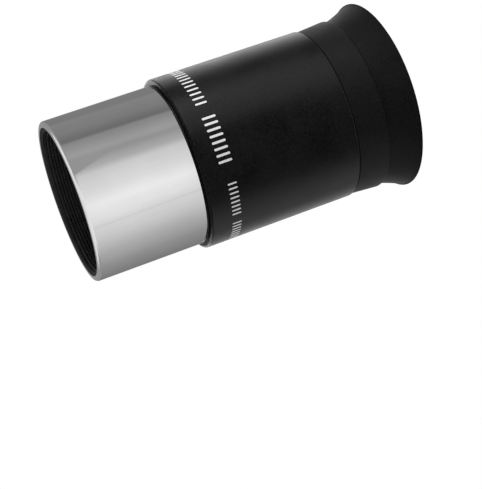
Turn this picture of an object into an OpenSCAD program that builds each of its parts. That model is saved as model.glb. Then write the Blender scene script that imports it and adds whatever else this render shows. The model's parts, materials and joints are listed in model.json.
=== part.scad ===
// Telescope eyepiece of the 1.25 inch size, with a rubber eyecup that folds down.
// Millimetres. +Z is the optical axis and points to the eye. The origin is on the
// axis, in the plane where the bright barrel ends and the housing begins.
// Threads are shown as rings of V grooves with flat crests.

/* [Nosepiece] */
// Outer diameter of the barrel that plugs into the telescope
barrel_d = 31.75; // [31.6:0.05:31.8]
// Length of the barrel below the housing
barrel_length = 21.7; // [20:0.1:28]
// Diameter over the crests of the filter thread inside the barrel
filter_crest_d = 27.9; // [27.7:0.1:28.1]
// Pitch of the filter thread
filter_pitch = 0.6; // [0.5:0.1:0.7]
// Diameter of the thread that screws into the housing
joint_thread_d = 30; // [29.8:0.1:30.2]
// Length of that thread
joint_thread_length = 5.5; // [4:0.5:8]
// Pitch of that thread
joint_thread_pitch = 0.75; // [0.7:0.05:0.9]

/* [Housing] */
// Outer diameter of the housing
housing_d = 34; // [33.6:0.1:36]
// Height of the housing, from the barrel to the eyecup
housing_height = 31.4; // [31:0.1:35]
// Diameter of the neck under the eyecup
neck_d = 30.6; // [30.4:0.1:31]
// Height of that neck
neck_height = 5.8; // [5.5:0.1:6.2]
// Outer diameter of the tube that holds the lenses
cell_d = 28.4; // [28.2:0.1:28.6]

/* [Lenses] */
// Diameter of all four lenses
lens_d = 25.2; // [24.8:0.1:25.2]
// Thickness of each crown lens on the axis
crown_thickness = 7.5; // [7.2:0.1:7.8]
// Thickness of each flint lens on the axis
flint_thickness = 2; // [1.8:0.1:2.2]
// Gap between the two crown lenses on the axis
crown_gap = 0.6; // [0.4:0.1:0.8]
// Diameter of the clear hole in each retaining ring
aperture_d = 23.6; // [22.8:0.1:23.8]
// Diameter of the hole that limits the field of view
field_stop_d = 21.6; // [18:0.1:23]

/* [Eyecup] */
// Diameter of the rubber where it meets the housing
cup_seam_d = 33.6; // [33:0.1:33.8]
// Diameter of the rubber just below its crease
cup_crease_d = 34.4; // [33.8:0.1:34.8]
// Height from the housing to the crease
cup_base_height = 6.5; // [6.3:0.1:7]
// Diameter of the rim
rim_d = 37.8; // [37.4:0.1:39]
// Height from the crease to the top of the rim
flare_height = 6.25; // [6:0.05:7]
// Number of ridges on the flare's inner face
ridge_count = 6; // [4:1:8]

/* [Hidden] */
$fn = 96;

// Clearances between parts that turn, slide or screw into each other
running_gap = 0.05;
seat_gap = 0.02;

// Nosepiece
barrel_r = barrel_d / 2;
filter_crest_r = filter_crest_d / 2;
filter_depth = 0.3;
mouth_bevel_width = 0.8;
mouth_bevel_height = 0.35;
barrel_edge_r = 0.4;
joint_thread_r = joint_thread_d / 2;
joint_thread_depth = 0.35;
joint_neck = 0.5;
nosepiece_top = joint_neck + joint_thread_length;
stop_ledge_z = -1.2;
stop_thickness = 1;
stop_seat_r = filter_crest_r + 0.35;

// Housing
housing_r = housing_d / 2;
collar_r = barrel_r + 0.025;
collar_height = 0.42;
shoulder_edge_width = 0.7;
shoulder_edge_height = 0.38;
neck_r = neck_d / 2;
neck_top = housing_height + neck_height;
cell_bore_r = cell_d / 2 + running_gap;
joint_bore_r = joint_thread_r + running_gap;
bead_low_z = housing_height + 1.7;
bead_height = 1.4;
bead_depth = 0.45;

// Lens group, mirrored about its middle plane
middle_z = housing_height - 5.3;
lens_r = lens_d / 2;
cement_radius = 24;
cement_film = 0.02;
crown_radius = 30;
outer_radius = 90;
crown_face = crown_gap / 2;
cement_face = crown_face + crown_thickness;
outer_face = cement_face + flint_thickness;
lens_edge = outer_face - sagitta(outer_radius, lens_r);
retainer_seat = outer_face - sagitta(outer_radius, aperture_d / 2) + seat_gap;
retainer_r = lens_r + 0.3;
retainer_height = 2.75;
retainer_bevel = 0.65;
slot_width = 1.6;
slot_depth = 0.9;
spacer_inner_r = lens_r - 0.7;
spacer_end = crown_face + sagitta(crown_radius, spacer_inner_r) - seat_gap;

// Lens cell
cell_r = cell_d / 2;
flange_r = joint_thread_r;
flange_low_z = 12;
flange_high_z = 13.9;
boss_r = cell_r - 0.7;
boss_top = neck_top + 1;

// Eyecup
crease_z = housing_height + cup_base_height;
face_z = crease_z + 0.5;
web_hole_r = boss_r + 0.3;
crease_width = 0.55;
crease_height = 0.45;
flare_foot_r = cup_crease_d / 2 - crease_width;
flare_wall = 0.95;
rim_r = rim_d / 2;
rim_inner_r = cup_crease_d / 2 + 0.35;
rim_height = 1;
rim_low_z = crease_z + flare_height - rim_height;
rim_edge = 0.3;
flare_curve = 0.4;
ridge_depth = 0.18;

// Rise of a sphere of the given radius at a distance from its axis
function sagitta(radius, distance) = radius - sqrt(radius * radius - distance * distance);

// Points of a rounded corner from angle a to b, with its own radius in each direction
function round_points(centre, radii, a, b, steps = 6) =
    [for (i = [0:steps])
        let (angle = a + (b - a) * i / steps)
        centre + [radii.x * cos(angle), radii.y * sin(angle)]];

// Outline of V grooves that run up from low_z, with flat crests between them
function groove_points(crest_r, root_r, low_z, pitch, count) =
    [for (i = [0:count - 1]) each [
        [crest_r, low_z + (i + 0.2) * pitch],
        [root_r, low_z + (i + 0.5) * pitch],
        [crest_r, low_z + (i + 0.8) * pitch]]];

// Number of whole grooves that fit in a height
function groove_count(height, pitch) = floor(height / pitch);

// The same points from last to first
function backwards(points) = [for (i = [len(points) - 1:-1:0]) points[i]];

// Outer radius of the flare at a fraction of its height
function flare_radius(part) =
    flare_foot_r + (rim_r - flare_foot_r) * ((1 - flare_curve) * part + flare_curve * part * part);

module tube(outer_r, inner_r, low_z, high_z) {
    rotate_extrude()
        translate([inner_r, low_z])
            square([outer_r - inner_r, high_z - low_z]);
}

module nosepiece() {
    filter_low_z = mouth_bevel_height - barrel_length;
    filter_grooves = groove_count(stop_ledge_z - filter_low_z - filter_pitch, filter_pitch);
    joint_low_z = joint_neck + joint_thread_depth;
    joint_grooves = groove_count(joint_thread_length - 2 * joint_thread_depth, joint_thread_pitch);
    outline = concat(
        [[filter_crest_r + mouth_bevel_width, -barrel_length]],
        round_points([barrel_r - barrel_edge_r, barrel_edge_r - barrel_length],
                     [barrel_edge_r, barrel_edge_r], -90, 0),
        [[barrel_r, 0], [joint_thread_r, 0]],
        groove_points(joint_thread_r, joint_thread_r - joint_thread_depth,
                      joint_low_z, joint_thread_pitch, joint_grooves),
        [[joint_thread_r, nosepiece_top - joint_thread_depth],
         [joint_thread_r - joint_thread_depth, nosepiece_top],
         [stop_seat_r, nosepiece_top],
         [stop_seat_r, stop_ledge_z],
         [filter_crest_r, stop_ledge_z]],
        backwards(groove_points(filter_crest_r, filter_crest_r + filter_depth,
                                filter_low_z, filter_pitch, filter_grooves)),
        [[filter_crest_r, filter_low_z]]);
    color("silver")
        rotate_extrude()
            polygon(outline);
}

module field_stop() {
    outer_r = stop_seat_r - running_gap;
    edge_r = field_stop_d / 2;
    low_z = stop_ledge_z + seat_gap;
    high_z = low_z + stop_thickness;
    edge_z = low_z + 0.3;
    bevel_r = edge_r + 0.7;
    color("dimgray")
        rotate_extrude()
            polygon([[edge_r, low_z], [outer_r, low_z], [outer_r, high_z],
                     [bevel_r, high_z], [edge_r, edge_z]]);
}

module housing() {
    top_edge = 0.2;
    thread_low_z = joint_neck + joint_thread_depth;
    thread_grooves = groove_count(joint_thread_length, joint_thread_pitch);
    outline = concat(
        [[joint_bore_r, seat_gap], [collar_r, seat_gap], [collar_r, collar_height]],
        round_points([housing_r - shoulder_edge_width, collar_height + shoulder_edge_height],
                     [shoulder_edge_width, shoulder_edge_height], -90, 0),
        [[housing_r, housing_height - top_edge],
         [housing_r - top_edge, housing_height],
         [neck_r, housing_height],
         [neck_r, bead_low_z],
         [neck_r - bead_depth, bead_low_z],
         [neck_r - bead_depth, bead_low_z + bead_height],
         [neck_r, bead_low_z + bead_height],
         [neck_r, neck_top],
         [cell_bore_r, neck_top],
         [cell_bore_r, flange_high_z],
         [joint_bore_r, flange_high_z]],
        backwards(groove_points(joint_bore_r, joint_bore_r + joint_thread_depth,
                                thread_low_z, joint_thread_pitch, thread_grooves)));
    color([0.12, 0.12, 0.13])
        rotate_extrude()
            polygon(outline);
}

module lens_cell() {
    bore_r = lens_r + running_gap;
    thread_r = retainer_r + running_gap;
    field_thread_top = middle_z - lens_edge;
    eye_thread_low = middle_z + lens_edge;
    outline = [
        [thread_r, flange_low_z],
        [flange_r, flange_low_z],
        [flange_r, flange_high_z],
        [cell_r, flange_high_z],
        [cell_r, neck_top],
        [boss_r, neck_top],
        [boss_r, boss_top - 0.15],
        [boss_r - 0.15, boss_top],
        [thread_r, boss_top],
        [thread_r, eye_thread_low],
        [bore_r, eye_thread_low],
        [bore_r, field_thread_top],
        [thread_r, field_thread_top]];
    color([0.16, 0.16, 0.17])
        rotate_extrude()
            polygon(outline);
}

// A pressing ring over the outer face of a lens pair, with two slots for a key
module retaining_ring() {
    clear_r = aperture_d / 2;
    top = retainer_seat + retainer_height;
    color([0.2, 0.2, 0.21])
        difference() {
            rotate_extrude()
                polygon([[clear_r, retainer_seat], [retainer_r, retainer_seat],
                         [retainer_r, top], [clear_r + retainer_bevel, top],
                         [clear_r, top - retainer_bevel]]);
            translate([-retainer_r - 1, -slot_width / 2, top - slot_depth])
                cube([2 * retainer_r + 2, slot_width, slot_depth + 1]);
        }
}

// The thick lens of a pair: both faces bulge
module crown_lens() {
    color([0.80, 0.86, 0.90])
        intersection() {
            cylinder(r = lens_r, h = outer_face);
            translate([0, 0, crown_face + crown_radius])
                sphere(r = crown_radius);
            translate([0, 0, cement_face - cement_radius])
                sphere(r = cement_radius);
        }
}

// The thin lens of a pair: its hollow face is cemented to the crown
module flint_lens() {
    rim_low = cement_face - sagitta(cement_radius, lens_r) + 0.15;
    color([0.55, 0.52, 0.68])
        difference() {
            intersection() {
                translate([0, 0, rim_low])
                    cylinder(r = lens_r, h = outer_face - rim_low);
                translate([0, 0, outer_face - outer_radius])
                    sphere(r = outer_radius, $fn = 192);
            }
            translate([0, 0, cement_face - cement_radius])
                sphere(r = cement_radius + cement_film);
        }
}

module eye_side() {
    translate([0, 0, middle_z])
        children();
}

module field_side() {
    translate([0, 0, middle_z])
        mirror([0, 0, 1])
            children();
}

module lens_spacer() {
    color([0.16, 0.16, 0.17])
        tube(lens_r, spacer_inner_r, middle_z - spacer_end, middle_z + spacer_end);
}

module eyecup_base() {
    seam_r = cup_seam_d / 2;
    seam_z = housing_height + seat_gap;
    inner_r = neck_r + running_gap;
    web_low_z = neck_top + seat_gap;
    bead_slope = 0.1;
    bead_r = inner_r - bead_depth;
    outline = concat(
        [[inner_r, seam_z],
         [seam_r - 0.2, seam_z],
         [seam_r, seam_z + 0.2]],
        round_points([flare_foot_r, crease_z - crease_height], [crease_width, crease_height], 0, 90),
        [[flare_foot_r - flare_wall, crease_z],
         [flare_foot_r - flare_wall, face_z],
         [web_hole_r, face_z],
         [web_hole_r, web_low_z],
         [inner_r, web_low_z],
         [inner_r, bead_low_z + bead_height - seat_gap],
         [bead_r, bead_low_z + bead_height - bead_slope],
         [bead_r, bead_low_z + bead_slope],
         [inner_r, bead_low_z + seat_gap]]);
    color([0.09, 0.09, 0.09])
        rotate_extrude()
            polygon(outline);
}

// The wall that turns over when the eyecup is folded, ridged on its inner face
module eyecup_flare() {
    steps = 8;
    low_r = flare_foot_r - flare_wall;
    high_part = 1 - rim_height / flare_height;
    outer = [for (i = [0:steps])
        let (part = high_part * i / steps)
        [flare_radius(part), crease_z + part * flare_height]];
    inner = [for (i = [1:2 * ridge_count - 1])
        let (part = i / (2 * ridge_count))
        [low_r + (rim_inner_r - low_r) * part - (i % 2) * ridge_depth,
         face_z + (rim_low_z - face_z) * part]];
    color([0.09, 0.09, 0.09])
        rotate_extrude()
            polygon(concat(outer, [[rim_inner_r, rim_low_z]], backwards(inner),
                           [[low_r, face_z], [low_r, crease_z]]));
}

module eyecup_rim() {
    top = rim_low_z + rim_height;
    low_r = flare_radius(1 - rim_height / flare_height);
    color([0.09, 0.09, 0.09])
        rotate_extrude()
            polygon([[rim_inner_r, rim_low_z], [low_r, rim_low_z],
                     [rim_r, top - rim_edge], [rim_r - rim_edge, top],
                     [rim_inner_r + rim_edge, top], [rim_inner_r, top - rim_edge]]);
}

nosepiece();
field_stop();
housing();
lens_cell();
field_side() retaining_ring();  // field_lens_retainer
field_side() flint_lens();  // field_lens_flint
field_side() crown_lens();  // field_lens_crown
lens_spacer();
eye_side() crown_lens();  // eye_lens_crown
eye_side() flint_lens();  // eye_lens_flint
eye_side() retaining_ring();  // eye_lens_retainer
eyecup_base();
eyecup_flare();
eyecup_rim();
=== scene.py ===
"""The looks of a telescope eyepiece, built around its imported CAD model."""
import json
import math

import bmesh
import bpy
from mathutils import Euler, Matrix, Vector


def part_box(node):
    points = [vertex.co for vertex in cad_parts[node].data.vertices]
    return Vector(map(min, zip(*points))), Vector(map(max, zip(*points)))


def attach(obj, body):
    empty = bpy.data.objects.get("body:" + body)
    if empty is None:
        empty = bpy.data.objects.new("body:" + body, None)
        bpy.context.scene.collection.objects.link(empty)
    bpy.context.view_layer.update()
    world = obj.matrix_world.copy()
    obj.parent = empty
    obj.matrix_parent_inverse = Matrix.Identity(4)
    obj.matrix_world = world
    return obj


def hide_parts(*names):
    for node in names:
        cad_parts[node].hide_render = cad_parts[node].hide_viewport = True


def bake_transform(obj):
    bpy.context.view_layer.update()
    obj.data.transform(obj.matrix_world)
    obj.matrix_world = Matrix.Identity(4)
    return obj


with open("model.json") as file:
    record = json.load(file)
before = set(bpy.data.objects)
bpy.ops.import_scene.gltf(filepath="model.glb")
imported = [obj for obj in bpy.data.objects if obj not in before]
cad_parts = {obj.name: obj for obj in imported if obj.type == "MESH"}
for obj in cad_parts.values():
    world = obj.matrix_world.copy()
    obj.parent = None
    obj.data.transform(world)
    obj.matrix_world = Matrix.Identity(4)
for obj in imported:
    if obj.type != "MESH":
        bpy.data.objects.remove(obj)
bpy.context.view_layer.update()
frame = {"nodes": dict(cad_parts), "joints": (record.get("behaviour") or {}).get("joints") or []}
NODES = frame["nodes"]
SCENE = bpy.context.scene
MM = 0.001


# ---------------------------------------------------------------- sizes read from the CAD

def round_node(name):
    """Inner radius, outer radius, bottom and top of a round CAD node, in millimetres."""
    low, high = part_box(name)
    inner = min(math.hypot(vertex.co.x, vertex.co.y) for vertex in NODES[name].data.vertices)
    outer = min(-low.x, -low.y, high.x, high.y)
    return inner / MM, outer / MM, low.z / MM, high.z / MM


FILTER_CREST_R, BARREL_R, BARREL_LOW, BARREL_TOP = round_node("nosepiece")
_, HOUSING_R, _, NECK_TOP = round_node("housing")
WEB_HOLE_R, CREASE_R, SEAM_Z, FACE_Z = round_node("eyecup_base")
_, _, CREASE_Z, RIM_LOW = round_node("eyecup_flare")
RIM_INNER_R, RIM_R, _, RIM_TOP = round_node("eyecup_rim")
_, STOP_R, STOP_LOW, _ = round_node("field_stop")
FOLD_TRAVEL = next(joint["range_m"][1] for joint in frame["joints"]
                   if joint["name"] == "eyecup_fold") / MM

# ---------------------------------------------------------------- shader nodes


class Tree:
    """Short ways to add and join shader nodes."""

    def __init__(self, owner):
        owner.use_nodes = True
        self.nodes = owner.node_tree.nodes
        self.links = owner.node_tree.links
        self.nodes.clear()

    def add(self, kind, inputs=None, **settings):
        """A node with its settings, and its inputs given as values or as other nodes' outputs."""
        node = self.nodes.new("ShaderNode" + kind)
        for name, value in settings.items():
            setattr(node, name, value)
        for name, value in (inputs or {}).items():
            if isinstance(value, bpy.types.NodeSocket):
                self.links.new(value, node.inputs[name])
            else:
                node.inputs[name].default_value = value
        return node

    def math(self, operation, *values):
        """A maths node on one, two or three values."""
        return self.add("Math", dict(enumerate(values)), operation=operation).outputs[0]

    def ramp(self, factor, stops):
        """A grey or coloured ramp over stops of (position, colour)."""
        node = self.add("ValToRGB", {"Fac": factor})
        elements = node.color_ramp.elements
        for position, _ in stops[2:]:
            elements.new(position)
        for element, (position, colour) in zip(elements, stops):
            element.position = position
            element.color = rgba(colour)
        return node.outputs["Color"]

    def fit(self, value, low, high, new_low=0.0, new_high=1.0):
        """value carried from one range to another, with soft ends."""
        node = self.add("MapRange", {"Value": value, "From Min": low, "From Max": high,
                                     "To Min": new_low, "To Max": new_high},
                        interpolation_type="SMOOTHSTEP")
        return node.outputs["Result"]

    def mix(self, factor, colour_a, colour_b):
        """colour_a where the factor is 0 and colour_b where it is 1."""
        inputs = {"Fac": factor}
        for name, colour in (("Color1", colour_a), ("Color2", colour_b)):
            inputs[name] = rgba(colour) if isinstance(colour, tuple) else colour
        return self.add("MixRGB", inputs).outputs["Color"]

    def noise(self, size_mm, detail=2.0, roughness=0.5, stretch=(1.0, 1.0, 1.0)):
        """Noise in the object's own space, with lumps of about the given size."""
        place = self.add("TexCoord").outputs["Object"]
        scale = tuple(factor / (size_mm * MM) for factor in stretch)
        spread = self.add("Mapping", {"Vector": place, "Scale": scale}).outputs["Vector"]
        inputs = {"Vector": spread, "Scale": 1.0, "Detail": detail, "Roughness": roughness}
        return self.add("TexNoise", inputs).outputs["Fac"]

    def axes(self):
        """X, Y and Z of the point in the object's own space."""
        place = self.add("TexCoord").outputs["Object"]
        parts = self.add("SeparateXYZ", {"Vector": place}).outputs
        return parts["X"], parts["Y"], parts["Z"]

    def radius(self):
        """Distance from the optical axis."""
        x, y, _ = self.axes()
        return self.math("SQRT", self.math("MULTIPLY_ADD", x, x, self.math("MULTIPLY", y, y)))

    def turning_marks(self, size_mm):
        """Rings left by a lathe tool, on faces and on walls alike."""
        _, _, z = self.axes()
        travel = self.math("ADD", self.radius(), z)
        inputs = {"W": self.math("DIVIDE", travel, size_mm * MM), "Scale": 1.0, "Detail": 3.0}
        return self.add("TexNoise", inputs, noise_dimensions="1D").outputs["Fac"]

    def bump(self, height, depth_mm, normal=None):
        """A normal bent by a height between 0 and 1 that stands for depth_mm."""
        inputs = {"Height": height, "Distance": depth_mm * MM, "Strength": 1.0}
        if normal:
            inputs["Normal"] = normal
        return self.add("Bump", inputs).outputs["Normal"]

    def finish(self, **inputs):
        """A Principled shader with these inputs, written with _ for a space, as the material's surface."""
        named = {name.replace("_", " "): value for name, value in inputs.items()}
        shader = self.add("BsdfPrincipled", named)
        self.add("OutputMaterial", {"Surface": shader.outputs[0]})


def rgba(colour):
    """A colour with alpha, from a grey value or three numbers."""
    return (colour,) * 3 + (1.0,) if isinstance(colour, (int, float)) else (*colour[:3], 1.0)


# ---------------------------------------------------------------- camera and studio

CAMERA_LENS_MM = 97.7
CAMERA_SENSOR_MM = 36.0
CAMERA_ELEVATION = math.radians(-14.82)
CAMERA_ROLL = math.radians(-69.7)
CAMERA_DISTANCE = 0.2568
CAMERA_AIM = Vector((0.01869, 0.0, 0.00707))

# Brightness of the studio by direction round the optical axis, in degrees. 0 is the
# camera's side, and negative angles lie above the object as the camera sees it.
# WALL is what the barrel's sides mirror, and FLOOR_WALL lies below it.
WALL = [
    (-180, 0.34), (-170, 0.34), (-164, 0.22), (-128, 0.24), (-122, 0.28), (-96, 0.25), (-81, 0.19),
    (-78, 0.19), (-75, 0.29), (-54, 0.42), (-46, 0.36), (-30, 0.52), (-22, 0.74), (0, 0.87), (20, 1.05),
    (40, 0.93), (47, 0.86), (49, 0.77), (52, 0.83), (64, 0.76), (90, 0.52), (120, 0.34), (150, 0.25),
    (168, 0.20), (180, 0.38)]
FLOOR_WALL = [(-180, 0.32), (-30, 0.36), (-5, 1.0), (70, 1.0), (100, 0.36), (180, 0.32)]
SKY_BRIGHTNESS = 0.40
GROUND_BRIGHTNESS = 0.95
# Sines of the heights between which one band of the studio gives way to the next.
FLOOR_WALL_TO_WALL = (-0.10, 0.06)
WALL_TO_SKY = (0.42, 0.70)
FLOOR_WALL_TO_GROUND = (-0.42, -0.70)
# A dark panel in the wall. At height 0 its slanting edge stands PANEL_EDGE degrees to the
# negative side of the camera, and PANEL_SLANT degrees further for each degree of height.
# Its other edge is upright, at PANEL_FROM.
PANEL_EDGE = 3.6
PANEL_SLANT = 2.57
PANEL_EDGE_BLUR = 1.5
PANEL_FROM = -47
PANEL_FADE = 3
PANEL_TONE = 0.375

# Soft lights that shape the black parts: direction round the axis and height in degrees,
# width of the light in degrees, and strength.
RIM_LIGHTS = {
    "back_top": (-136, 15, 40, 1.20),
    "front_top": (-46, 15, 40, 2.60),
    "streak_top": (-70, 6, 14, 1.80),
    "low": (98, 15, 44, 1.40),
    "back_low": (150, 15, 40, 0.55),
    "under_top": (-162, -12, 26, 0.85),
    "under_low": (162, -12, 26, 0.70),
    "under_front": (-56, -35, 36, 0.7)}

# The floor's height and radius in metres, its number of corners, and its light, given as
# those of RIM_LIGHTS are.
FLOOR_Z = -0.6
FLOOR_RADIUS = 0.75
FLOOR_CORNERS = 96
FLOOR_LIGHT = (0, 90, 60, 2.0)


def make_camera():
    """The photographer's view: just below the barrel's mouth, with the eyecup up on the right."""
    forward = Vector((0.0, math.cos(CAMERA_ELEVATION), -math.sin(CAMERA_ELEVATION)))
    upright = Vector((0.0, math.sin(CAMERA_ELEVATION), math.cos(CAMERA_ELEVATION)))
    sideways = forward.cross(upright)
    up = upright * math.cos(CAMERA_ROLL) + sideways * math.sin(CAMERA_ROLL)
    right = forward.cross(up)
    data = bpy.data.cameras.new("camera")
    data.lens = CAMERA_LENS_MM
    data.sensor_width = CAMERA_SENSOR_MM
    data.clip_start = 0.01
    camera = bpy.data.objects.new("camera", data)
    turn = Matrix((right, up, -forward)).transposed()
    camera.matrix_world = Matrix.Translation(CAMERA_AIM - forward * CAMERA_DISTANCE) @ turn.to_4x4()
    SCENE.collection.objects.link(camera)
    SCENE.camera = camera


def studio_world():
    """White to the camera; to the object, a ring of soft boxes, dim above it and bright below."""
    world = bpy.data.worlds.new("studio")
    SCENE.world = world
    tree = Tree(world)
    direction = tree.add("TexCoord").outputs["Generated"]
    parts = tree.add("SeparateXYZ", {"Vector": direction}).outputs
    angle = tree.math("ARCTAN2", parts["X"], tree.math("MULTIPLY", parts["Y"], -1.0))
    turn = tree.math("MULTIPLY_ADD", angle, 1 / (2 * math.pi), 0.5)
    peak = max(value for _, value in WALL + FLOOR_WALL)
    upper, lower = (tree.ramp(turn, [(degrees / 360 + 0.5, value / peak) for degrees, value in wall])
                    for wall in (WALL, FLOOR_WALL))
    degrees = tree.math("DEGREES", angle)
    height = tree.math("DEGREES", tree.math("ARCSINE", parts["Z"]))
    slanted = tree.math("ADD", degrees, tree.math("MULTIPLY", height, PANEL_SLANT))
    above_edge = tree.fit(slanted, -PANEL_EDGE - PANEL_EDGE_BLUR, -PANEL_EDGE + PANEL_EDGE_BLUR, 1.0, 0.0)
    in_panel = tree.math("MULTIPLY", above_edge, tree.fit(degrees, PANEL_FROM - PANEL_FADE, PANEL_FROM))
    upper = tree.mix(in_panel, upper, (PANEL_TONE / peak,) * 3)
    ring = tree.mix(tree.fit(parts["Z"], *FLOOR_WALL_TO_WALL), lower, upper)
    to_sky = tree.mix(tree.fit(parts["Z"], *WALL_TO_SKY), ring, (SKY_BRIGHTNESS / peak,) * 3)
    walls = tree.mix(tree.fit(parts["Z"], *FLOOR_WALL_TO_GROUND), to_sky, (GROUND_BRIGHTNESS / peak,) * 3)
    lit = tree.add("Background", {"Color": walls, "Strength": peak}).outputs[0]
    white = tree.add("Background", {"Color": rgba(1.0), "Strength": 1.0}).outputs[0]
    seen = tree.add("LightPath").outputs["Is Camera Ray"]
    both = tree.add("MixShader", {0: seen, 1: lit, 2: white}).outputs[0]
    tree.add("OutputWorld", {"Surface": both})


def soft_sun(name, look, receivers):
    """A soft light from far away that falls on the receivers alone."""
    azimuth, height, width, strength = look
    data = bpy.data.lights.new(name, "SUN")
    data.angle = math.radians(width)
    data.energy = strength
    light = bpy.data.objects.new(name, data)
    light.rotation_euler = Euler((math.radians(90 - height), 0.0, math.radians(azimuth)))
    lit = bpy.data.collections.new(name)
    for piece in receivers:
        lit.objects.link(piece)
    light.light_linking.receiver_collection = lit
    SCENE.collection.objects.link(light)


# ---------------------------------------------------------------- mesh building

SEGMENTS = 160
# How close to an edge a second ring lies, in millimetres, to keep the shading beside it flat.
HOLD = 0.04
# A V groove's first edge, root and last edge, as fractions of its pitch.
GROOVE_PHASES = (0.2, 0.5, 0.8)
GROOVE_ROOT = 1
# How many turns a groove takes to reach its full depth.
RUNOUT_TURNS = 1.2


def arc(centre_r, centre_z, radius, start, end, steps=8):
    """Points (r, z) on an arc between two angles in degrees, where 0 points away from the axis."""
    turns = [math.radians(start + (end - start) * step / steps) for step in range(steps + 1)]
    return [(centre_r + radius * math.cos(turn), centre_z + radius * math.sin(turn)) for turn in turns]


class Turned:
    """A mesh turned about the optical axis, ring by ring, in millimetres."""

    def __init__(self):
        self.points = []
        self.faces = []

    def ring(self, r, z):
        """A ring of points, as their indices."""
        start = len(self.points)
        for step in range(SEGMENTS):
            angle = 2 * math.pi * step / SEGMENTS
            self.points.append((r * math.cos(angle), r * math.sin(angle), z))
        return list(range(start, start + SEGMENTS))

    def join(self, ring_a, ring_b):
        """Faces between two rings."""
        for step in range(SEGMENTS):
            beside = (step + 1) % SEGMENTS
            self.faces.append((ring_a[step], ring_a[beside], ring_b[beside], ring_b[step]))

    def rings(self, outline):
        """A ring for each point of an outline, each joined to the one before."""
        made = [self.ring(r, z) for r, z in outline]
        for ring_a, ring_b in zip(made, made[1:]):
            self.join(ring_a, ring_b)
        return made

    def thread(self, low, high, crest_r, root_r, low_z, high_z, pitch):
        """A right-hand helical V groove between the rings low and high, running out at both ends."""
        turns = int((high_z - low_z) / pitch) - 1
        spare = (high_z - low_z - (turns + 1) * pitch) / 2
        rows = []
        for row in range(turns * len(GROOVE_PHASES)):
            turn, phase = divmod(row, len(GROOVE_PHASES))
            start = len(self.points)
            for step in range(SEGMENTS):
                lift = turn + GROOVE_PHASES[phase] + step / SEGMENTS
                z = low_z + spare + lift * pitch
                runout = min(1.0, lift / RUNOUT_TURNS, (turns + 1 - lift) / RUNOUT_TURNS)
                r = crest_r + (root_r - crest_r) * runout * (phase == GROOVE_ROOT)
                angle = 2 * math.pi * step / SEGMENTS
                self.points.append((r * math.cos(angle), r * math.sin(angle), z))
            rows.append(list(range(start, start + SEGMENTS)))
        last = SEGMENTS - 1
        shift = len(GROOVE_PHASES)
        for below, above in zip([low] + rows, rows + [high]):
            for step in range(last):
                self.faces.append((below[step], below[step + 1], above[step + 1], above[step]))
        for row in range(len(rows) - shift - 1):
            self.faces.append((rows[row][last], rows[row + shift][0],
                               rows[row + shift + 1][0], rows[row + 1][last]))
        start_chain = [rows[row][0] for row in range(shift + 1)]
        end_chain = [rows[-1 - row][last] for row in range(shift + 1)]
        self.faces.append((low[last], low[0], *start_chain, rows[0][last]))
        self.faces.append((high[0], high[last], *end_chain, rows[-1][0]))

    def build(self, name, sharp_degrees=35):
        """The finished object, smooth between its sharp edges, with its faces turned outward."""
        mesh = bpy.data.meshes.new(name)
        mesh.from_pydata([Vector(point) * MM for point in self.points], [], self.faces)
        work = bmesh.new()
        work.from_mesh(mesh)
        bmesh.ops.recalc_face_normals(work, faces=work.faces)
        work.to_mesh(mesh)
        work.free()
        mesh.shade_smooth()
        mesh.set_sharp_from_angle(angle=math.radians(sharp_degrees))
        piece = bpy.data.objects.new(name, mesh)
        SCENE.collection.objects.link(piece)
        return piece


# ---------------------------------------------------------------- nosepiece

MOUTH_ROUND = 0.55
MOUTH_BEVEL_WIDTH = 0.8
MOUTH_BEVEL_HEIGHT = 0.35
FILTER_PITCH = 0.6
FILTER_DEPTH = 0.3
# The soft edge at the top of the bright barrel: steps out from BARREL_R, and heights.
BARREL_TOP_EDGE = [(0.0, -0.06), (-0.01, -0.02), (-0.03, 0.0)]
JOINT_PITCH = 0.75
JOINT_DEPTH = 0.35
JOINT_R = 15.0
JOINT_NECK = 0.6
STOP_SEAT_R = STOP_R + 0.05
STOP_LEDGE_Z = STOP_LOW - 0.02
# Places of the two blacks among the nosepiece's materials: the bore's black is painted lighter,
# as painted light on its threads, and the bevel's darker, as painted shade on the bevel.
BLACK_BORE = 1
BEVEL_PAINTED_SHADE = 2


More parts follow.
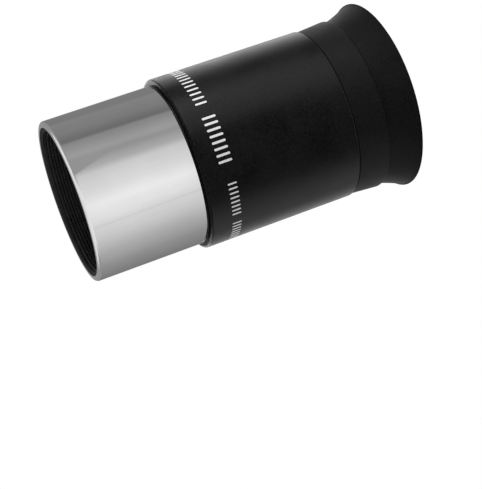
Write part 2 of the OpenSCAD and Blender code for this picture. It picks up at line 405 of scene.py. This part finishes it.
def make_nosepiece():
    """The polished barrel, with a helical thread outside its top and another in its black bore."""
    mouth_r = FILTER_CREST_R + MOUTH_BEVEL_WIDTH
    filter_low = BARREL_LOW + MOUTH_BEVEL_HEIGHT
    thread_top = BARREL_TOP - JOINT_DEPTH
    mouth_edge = arc(BARREL_R - MOUTH_ROUND, BARREL_LOW + MOUTH_ROUND, MOUTH_ROUND, -90, 0)
    top_edge = [(BARREL_R + outward, z) for outward, z in BARREL_TOP_EDGE]
    turned = Turned()
    outer = turned.rings([
        (FILTER_CREST_R, filter_low), (mouth_r, BARREL_LOW), (mouth_r + HOLD, BARREL_LOW), *mouth_edge,
        (BARREL_R, BARREL_LOW + MOUTH_ROUND + HOLD), *top_edge, (JOINT_R, 0.0), (JOINT_R, JOINT_NECK)])
    inner = turned.rings([
        (JOINT_R, thread_top), (JOINT_R - JOINT_DEPTH, BARREL_TOP), (STOP_SEAT_R, BARREL_TOP),
        (STOP_SEAT_R, STOP_LEDGE_Z), (FILTER_CREST_R, STOP_LEDGE_Z)])
    turned.thread(outer[-1], inner[0], JOINT_R, JOINT_R - JOINT_DEPTH, JOINT_NECK, thread_top, JOINT_PITCH)
    turned.thread(outer[0], inner[-1], FILTER_CREST_R, FILTER_CREST_R + FILTER_DEPTH,
                  filter_low, STOP_LEDGE_Z, FILTER_PITCH)
    piece = turned.build("threaded_nosepiece")
    piece.data.materials.append(chrome_material())
    # One blackening in two tones: lighter in the bore as painted light on the threads, darker on the bevel
    # as painted shade.
    piece.data.materials.append(matt_black_material("bore_black_painted_light", 0.020, 0.42))
    piece.data.materials.append(matt_black_material("bevel_black_painted_shade", 0.003, 0.42, 0.05))
    for face in piece.data.polygons:
        r = math.hypot(face.center.x, face.center.y) / MM
        in_mouth = r < mouth_r and face.center.z < 0
        if in_mouth and face.center.z < filter_low * MM:
            face.material_index = BEVEL_PAINTED_SHADE
        elif in_mouth or r < STOP_SEAT_R + HOLD:
            face.material_index = BLACK_BORE
    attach(piece, "nosepiece")
    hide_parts("nosepiece")


# ---------------------------------------------------------------- eyecup

SEAM_R = 16.74
# The small groove and round edge just over the housing: steps out from SEAM_R and up from SEAM_Z.
SEAM_EDGE = [(-0.28, 0.0), (-0.26, 0.13), (-0.06, 0.16), (0.0, 0.23), (0.01, 0.30)]
NECK_R = 15.35
BEAD_DEPTH = 0.45
BEAD_LOW = SEAM_Z + 1.70
BEAD_HIGH = SEAM_Z + 3.06
BEAD_SLOPE = 0.1
WEB_LOW = NECK_TOP + 0.02
# The soft edge of the web's hole: steps out from WEB_HOLE_R and up from FACE_Z.
WEB_EDGE = [(0.3, 0.0), (0.1, -0.08), (0.0, -0.3)]
CREASE_ROUND = 0.42
CREASE_ROUND_TOP = CREASE_Z - 0.02
CREASE_ROUND_END = 84
FLARE_FOOT_R = CREASE_R - 0.55
FLARE_CURVE = 0.4
FLARE_STEPS = 30
INNER_FOOT_R = FLARE_FOOT_R - 0.95
RIM_EDGE = 0.3
RIDGES = 6
RIDGE_HEIGHT = 0.27
# The skirt lies on the rim at rest and hangs round the housing when the cup is folded.
SKIRT_TOP_R = 18.12
SKIRT_TOP_Z = CREASE_Z + 0.15
SKIRT_LAP = 0.09
SKIRT_HEM = 0.25
# One ridge of the skirt: millimetres outward, and fractions of the ridge's drop at rest and of
# its pitch when folded.
SKIRT_RIDGE = [(0.0, 0.0, 0.0), (0.02, 0.0, 0.14), (RIDGE_HEIGHT, 0.0, 0.36), (RIDGE_HEIGHT, 0.3, 0.68),
               (SKIRT_LAP + 0.02, 0.7, 0.90)]
# One step of the bowl: a fraction of its width inward, millimetres outward, a fraction of its
# rise at rest, and millimetres down when folded.
BOWL_STEP = [(0.0, -0.01, 0.0, 0.0), (0.0, -0.06, 0.32, 0.002), (0.2, -0.05, 0.5, 0.004),
             (1.0, 0.02, 0.68, 0.006)]
BOWL_STEP_FOLDED = 0.01
# Where points of the flare's outer face lie when it's folded, as (r, z).
FOLDED_UNDERSIDE = [(16.8, CREASE_Z + 0.05), (17.15, CREASE_Z), (17.45, CREASE_Z - 0.2),
                    (17.62, CREASE_Z - 0.9), (18.25, 32.7), (18.9, 32.0)]


def along(table, x):
    """The value at x of a curve given by listed points, straight between them."""
    for (x0, y0), (x1, y1) in zip(table, table[1:]):
        if x <= x1:
            return y0 + (y1 - y0) * max(0.0, x - x0) / (x1 - x0)
    return table[-1][1]


def flare_radius(part):
    """Outer radius of the flare at a fraction of its height."""
    opening = (1 - FLARE_CURVE) * part + FLARE_CURVE * part * part
    return FLARE_FOOT_R + (RIM_R - FLARE_FOOT_R) * opening


# The next five functions give the eyecup's outline in order, as (r, z at rest, z folded).

def foot_outline():
    """From the neck out over the housing and up to the crease, which never moves."""
    still = [(NECK_R, SEAM_Z)]
    still += [(SEAM_R + outward, SEAM_Z + upward) for outward, upward in SEAM_EDGE]
    still += arc(CREASE_R - CREASE_ROUND, CREASE_ROUND_TOP - CREASE_ROUND, CREASE_ROUND, 0, CREASE_ROUND_END)
    return [(r, z, z) for r, z in still]


def flare_outline():
    """The flare's outer face, which turns over into the underside of the folded cup."""
    outline = []
    height = RIM_TOP - CREASE_Z
    top_part = 1 - RIM_EDGE / height
    for step in range(FLARE_STEPS + 1):
        part = top_part * step / FLARE_STEPS
        r = flare_radius(part)
        z = CREASE_Z + part * height
        folded = max(along(FOLDED_UNDERSIDE, r), z - FOLD_TRAVEL) if step else z
        outline.append((r, z, folded))
    outline.append((RIM_R, RIM_TOP - RIM_EDGE, RIM_TOP - RIM_EDGE - FOLD_TRAVEL))
    return outline


def skirt_outline():
    """The skirt's ridges, which lie close together on the rim at rest, from the hem up."""
    drop = RIM_EDGE / RIDGES
    pitch = (SKIRT_TOP_Z - (RIM_TOP - RIM_EDGE - FOLD_TRAVEL) - SKIRT_HEM) / RIDGES
    outline = []
    for ridge in range(RIDGES):
        groove_r = SKIRT_TOP_R + SKIRT_LAP * ridge
        z = RIM_TOP - drop * ridge
        folded = SKIRT_TOP_Z - pitch * ridge
        outline += [(groove_r + outward, z - at_rest * drop, folded - when_folded * pitch)
                    for outward, at_rest, when_folded in SKIRT_RIDGE]
    return outline[::-1]


def bowl_outline():
    """The rim's inner edge and the flare's stepped inner face, which folds flat beside the lens."""
    outline = [
        (SKIRT_TOP_R - 0.06, RIM_TOP, FACE_Z - 0.12),
        (SKIRT_TOP_R - 0.16, RIM_TOP, FACE_Z),
        (SKIRT_TOP_R - 0.30, RIM_TOP, FACE_Z + 0.04),
        (RIM_INNER_R + 0.25, RIM_TOP, FACE_Z + 0.06),
        (RIM_INNER_R + 0.08, RIM_TOP - 0.07, FACE_Z + 0.065),
        (RIM_INNER_R, RIM_TOP - 0.25, FACE_Z + 0.07)]
    rise = (RIM_LOW - FACE_Z) / RIDGES
    run = (RIM_INNER_R - INNER_FOOT_R) / RIDGES
    for ridge in range(RIDGES, 0, -1):
        r = INNER_FOOT_R + run * ridge
        z = FACE_Z + rise * ridge
        folded = FACE_Z + BOWL_STEP_FOLDED * ridge
        outline += [(r - inward * run + outward, z - at_rest * rise, folded - sunk)
                    for inward, outward, at_rest, sunk in BOWL_STEP]
    return outline


def web_outline():
    """The web round the lens cell and the bead that holds in the housing's groove."""
    still = [(INNER_FOOT_R, FACE_Z)]
    still += [(WEB_HOLE_R + outward, FACE_Z + upward) for outward, upward in WEB_EDGE]
    still += [
        (WEB_HOLE_R, WEB_LOW), (NECK_R, WEB_LOW), (NECK_R, BEAD_HIGH),
        (NECK_R - BEAD_DEPTH, BEAD_HIGH - BEAD_SLOPE), (NECK_R - BEAD_DEPTH, BEAD_LOW + BEAD_SLOPE),
        (NECK_R, BEAD_LOW)]
    return [(r, z, z) for r, z in still]


def make_eyecup():
    """The whole rubber eyecup at rest. Its outline also gives each ring's height when folded, from which a
    weight per point is worked out but not used.
    """
    outline = foot_outline() + flare_outline() + skirt_outline() + bowl_outline() + web_outline()
    turned = Turned()
    made = turned.rings([(r, z) for r, z, _ in outline])
    turned.join(made[-1], made[0])
    piece = turned.build("eyecup_moulding", sharp_degrees=40)
    piece.data.materials.append(rubber_material("black_rubber", 0.068))
    piece.data.materials.append(rubber_material("dull_rubber", 0.053))
    for face in piece.data.polygons:
        face.material_index = int(face.center.z > CREASE_Z * MM)
    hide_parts("eyecup_base", "eyecup_flare", "eyecup_rim")
    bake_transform(piece)
    weights = []
    for _, z, folded in outline:
        weights += [min(1.0, max(0.0, (z - folded) / FOLD_TRAVEL))] * SEGMENTS
    return piece


# ---------------------------------------------------------------- printed marks

INK_THICKNESS = 0.015
BAR_END_STEPS = 6
# Groups of plain bars round the housing: middle angle of the first bar and of the last in
# degrees, number of bars, bottom and top of a bar, and its width in millimetres.
BAR_GROUPS = [
    (-79, -28, 13, 4.1, 6.4, 0.40),
    (-17, 12, 8, 4.0, 6.7, 0.44),
    (27, 50, 8, 4.6, 6.4, 0.32),
    (59, 90, 10, 4.6, 6.5, 0.32),
    (130, 158, 8, 4.0, 6.7, 0.44),
    (171, 222, 13, 4.1, 6.4, 0.40)]


def add_bar(work, middle, low, high, width):
    """One bar with round ends, wrapped on the housing at an angle in radians."""
    half = width / 2
    outline = arc(0.0, high - half, half, 0, 180, BAR_END_STEPS)
    outline += arc(0.0, low + half, half, 180, 360, BAR_END_STEPS)
    rings = []
    for r in (HOUSING_R - INK_THICKNESS, HOUSING_R + INK_THICKNESS):
        ring = []
        for across, z in outline:
            angle = middle + across / HOUSING_R
            ring.append(work.verts.new(Vector((r * math.cos(angle), r * math.sin(angle), z)) * MM))
        rings.append(ring)
    inner, outer = rings
    work.faces.new(list(reversed(inner)))
    work.faces.new(outer)
    for i, vertex in enumerate(inner):
        beside = (i + 1) % len(inner)
        work.faces.new((vertex, inner[beside], outer[beside], outer[i]))


def make_printed_marks():
    """Plain white bars printed round the housing, in place of lettering."""
    work = bmesh.new()
    for first, last, count, low, high, width in BAR_GROUPS:
        for bar in range(count):
            middle = math.radians(first + (last - first) * bar / (count - 1) - 90)
            add_bar(work, middle, low, high, width)
    bmesh.ops.recalc_face_normals(work, faces=work.faces)
    mesh = bpy.data.meshes.new("printed_marks")
    work.to_mesh(mesh)
    work.free()
    piece = bpy.data.objects.new("printed_marks", mesh)
    SCENE.collection.objects.link(piece)
    piece.data.materials.append(ink_material())
    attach(piece, "housing")
    return piece


# ---------------------------------------------------------------- materials

# Where the housing's black finish is worn by its lower edge, and where a highlight is painted
# along its top chamfer: heights of the two edges, how far from them the wear and the painted
# highlight reach, and how strong each is. The top edge's painted highlight is full up to the first distance.
SHOULDER_EDGE_Z = 0.9
SHOULDER_WEAR_REACH = 0.5
SHOULDER_WEAR = 0.08
TOP_EDGE_Z = SEAM_Z - 0.12
TOP_HIGHLIGHT_REACH = (0.06, 0.14)
TOP_EDGE_HIGHLIGHT = 0.16
# Refractive indices, and the coating's thickness in nanometres.
CROWN_IOR = 1.52
FLINT_IOR = 1.62
COATING_IOR = 1.38
COATING_NM = 105.0
# Colours, as linear red, green and blue.
COATED_TINT = (0.93, 0.91, 0.99)
CLEAR_TINT = (0.99, 0.995, 0.99)
CHROME_DARK = (0.765, 0.765, 0.765)
CHROME_PALE = (0.80, 0.80, 0.80)
ANODISED_DARK = (0.0008, 0.0008, 0.0009)
ANODISED_PALE = (0.0044, 0.0043, 0.0042)
# Bare metal where the anodising is worn, also the colour of the painted highlight on the top edge.
WORN_METAL_AND_HIGHLIGHT = (0.09, 0.088, 0.085)
RUBBER_DARK = (0.0008, 0.0008, 0.0008)
RUBBER_PALE = (0.0036, 0.0036, 0.0037)
DUST = (0.16, 0.155, 0.15)
INK_WHITE = (0.42, 0.42, 0.42)
INK_PINHOLE = (0.26, 0.26, 0.26)


def chrome_material():
    """Bright plating with faint turning rings, polishing lines and finger marks."""
    material = bpy.data.materials.new("polished_chrome")
    tree = Tree(material)
    smudge = tree.noise(9.0, 3.0)
    polish = tree.noise(0.5, 2.0, 0.6, (1.0, 1.0, 0.03))
    rings = tree.turning_marks(0.22)
    cloud = tree.math("MULTIPLY_ADD", smudge, 0.7, tree.math("MULTIPLY", polish, 0.3))
    tree.finish(
        Base_Color=tree.mix(tree.fit(cloud, 0.35, 0.65), CHROME_DARK, CHROME_PALE),
        Metallic=1.0,
        Roughness=tree.fit(cloud, 0.30, 0.72, 0.03, 0.07),
        Normal=tree.bump(rings, 0.0006, tree.bump(polish, 0.0004)))
    return material


def anodised_material():
    """Black anodising over a fine blasted grain, a little mottled, with worn flecks by its lower edge and a
    painted highlight along its top edge.
    """
    material = bpy.data.materials.new("black_anodised")
    tree = Tree(material)
    cloud = tree.noise(7.0, 4.0)
    mottle = tree.noise(0.38, 2.0, 0.6)
    grain = tree.noise(0.10, 3.0, 0.65)
    flecks = tree.noise(0.35, 2.0)
    _, _, z = tree.axes()
    from_shoulder, from_top = (tree.math("ABSOLUTE", tree.math("SUBTRACT", z, edge_z * MM))
                               for edge_z in (SHOULDER_EDGE_Z, TOP_EDGE_Z))
    near_shoulder = tree.fit(from_shoulder, 0.0, SHOULDER_WEAR_REACH * MM, 1.0, 0.0)
    flecked = tree.math("MULTIPLY", near_shoulder, tree.fit(flecks, 0.56, 0.70, 0.0, SHOULDER_WEAR))
    # A painted highlight along the housing's top chamfer.
    painted_highlight = tree.fit(from_top, *(reach * MM for reach in TOP_HIGHLIGHT_REACH), TOP_EDGE_HIGHLIGHT, 0.0)
    wear_and_highlight = tree.math("ADD", flecked, painted_highlight)
    shade = tree.math("MULTIPLY_ADD", cloud, 0.4, tree.math("MULTIPLY", mottle, 0.6))
    tone = tree.mix(tree.fit(shade, 0.36, 0.64), ANODISED_DARK, ANODISED_PALE)
    tree.finish(
        Base_Color=tree.mix(wear_and_highlight, tone, WORN_METAL_AND_HIGHLIGHT),
        Metallic=0.0,
        Roughness=tree.math("ADD", tree.fit(cloud, 0.30, 0.70, 0.34, 0.40),
                            tree.math("MULTIPLY", grain, 0.04)),
        Specular_IOR_Level=0.045,
        Normal=tree.bump(grain, 0.0016))
    return material


def rubber_material(name, gloss):
    """Soft moulded rubber: fine pores, faint bloom and a few specks of dust."""
    material = bpy.data.materials.new(name)
    tree = Tree(material)
    bloom = tree.noise(5.0, 4.0)
    mottle = tree.noise(0.38, 2.0, 0.6)
    pores = tree.noise(0.12, 3.0, 0.7)
    dust = tree.noise(0.22, 1.0)
    shade = tree.math("MULTIPLY_ADD", bloom, 0.4, tree.math("MULTIPLY", mottle, 0.6))
    tone = tree.mix(tree.fit(shade, 0.36, 0.66), RUBBER_DARK, RUBBER_PALE)
    tree.finish(
        Base_Color=tree.mix(tree.fit(dust, 0.76, 0.80, 0.0, 0.10), tone, DUST),
        Metallic=0.0,
        Roughness=tree.math("ADD", tree.fit(bloom, 0.30, 0.70, 0.56, 0.64),
                            tree.math("MULTIPLY", pores, 0.08)),
        Specular_IOR_Level=gloss,
        Normal=tree.bump(pores, 0.004))
    return material


def matt_black_material(name, tone, roughness, gloss=0.3):
    """Blackened metal with the rings that turning left."""
    material = bpy.data.materials.new(name)
    tree = Tree(material)
    rings = tree.turning_marks(0.16)
    grain = tree.noise(0.08, 2.0)
    cloud = tree.noise(4.0, 3.0)
    tree.finish(
        Base_Color=tree.mix(tree.fit(cloud, 0.3, 0.7), (tone * 0.75,) * 3, (tone * 1.25,) * 3),
        Metallic=0.0,
        Roughness=tree.math("MULTIPLY_ADD", rings, 0.12, roughness - 0.06),
        Specular_IOR_Level=gloss,
        Normal=tree.bump(rings, 0.002, tree.bump(grain, 0.0015)))
    return material


def glass_material(name, ior, film_nm, tint):
    """Polished glass; with a film thickness given, it has an anti-reflection coating."""
    material = bpy.data.materials.new(name)
    tree = Tree(material)
    haze = tree.noise(3.0, 4.0)
    tree.finish(
        Base_Color=tree.mix(haze, tuple(0.98 * channel for channel in tint), tint),
        Transmission_Weight=1.0,
        Roughness=tree.fit(haze, 0.55, 0.75, 0.0, 0.02),
        IOR=ior,
        Thin_Film_Thickness=film_nm,
        Thin_Film_IOR=COATING_IOR)
    return material


def ink_material():
    """White screen-printed ink with small pinholes."""
    material = bpy.data.materials.new("white_ink")
    tree = Tree(material)
    holes = tree.noise(0.12, 2.0, 0.6)
    tree.finish(
        Base_Color=tree.mix(tree.fit(holes, 0.60, 0.72), INK_WHITE, INK_PINHOLE),
        Metallic=0.0,
        Roughness=tree.fit(holes, 0.30, 0.70, 0.50, 0.62),
        Normal=tree.bump(holes, 0.003))
    return material


def dress(material, *names):
    """Give CAD nodes their material."""
    for name in names:
        NODES[name].data.materials.clear()
        NODES[name].data.materials.append(material)


def make_floor():
    """A round, plain pale floor far below, out of the camera's way, with a light of its own."""
    mesh = bpy.data.meshes.new("floor")
    turns = [2 * math.pi * step / FLOOR_CORNERS for step in range(FLOOR_CORNERS)]
    corners = [(math.cos(turn) * FLOOR_RADIUS, math.sin(turn) * FLOOR_RADIUS, FLOOR_Z) for turn in turns]
    mesh.from_pydata(corners, [], [range(FLOOR_CORNERS)])
    floor = bpy.data.objects.new("floor", mesh)
    material = bpy.data.materials.new("pale_floor")
    Tree(material).finish(Base_Color=rgba(0.85), Roughness=0.9)
    mesh.materials.append(material)
    SCENE.collection.objects.link(floor)
    soft_sun("floor_light", FLOOR_LIGHT, [floor])


make_camera()
studio_world()
make_floor()
SCENE.view_settings.view_transform = "Standard"
make_nosepiece()
eyecup = make_eyecup()
marks = make_printed_marks()
dress(anodised_material(), "housing")
dress(matt_black_material("blackened_metal", 0.010, 0.50), "lens_cell", "lens_spacer", "field_stop",
      "eye_lens_retainer", "field_lens_retainer")
dress(glass_material("coated_glass", FLINT_IOR, COATING_NM, COATED_TINT),
      "eye_lens_flint", "field_lens_flint")
dress(glass_material("clear_glass", CROWN_IOR, 0.0, CLEAR_TINT),
      "eye_lens_crown", "field_lens_crown")
black_nodes = ("housing", "lens_cell", "eye_lens_retainer", "field_lens_retainer", "field_stop",
               "lens_spacer")
black_parts = [eyecup, marks] + [NODES[name] for name in black_nodes]
for light_name, look in RIM_LIGHTS.items():
    soft_sun(light_name, look, black_parts)
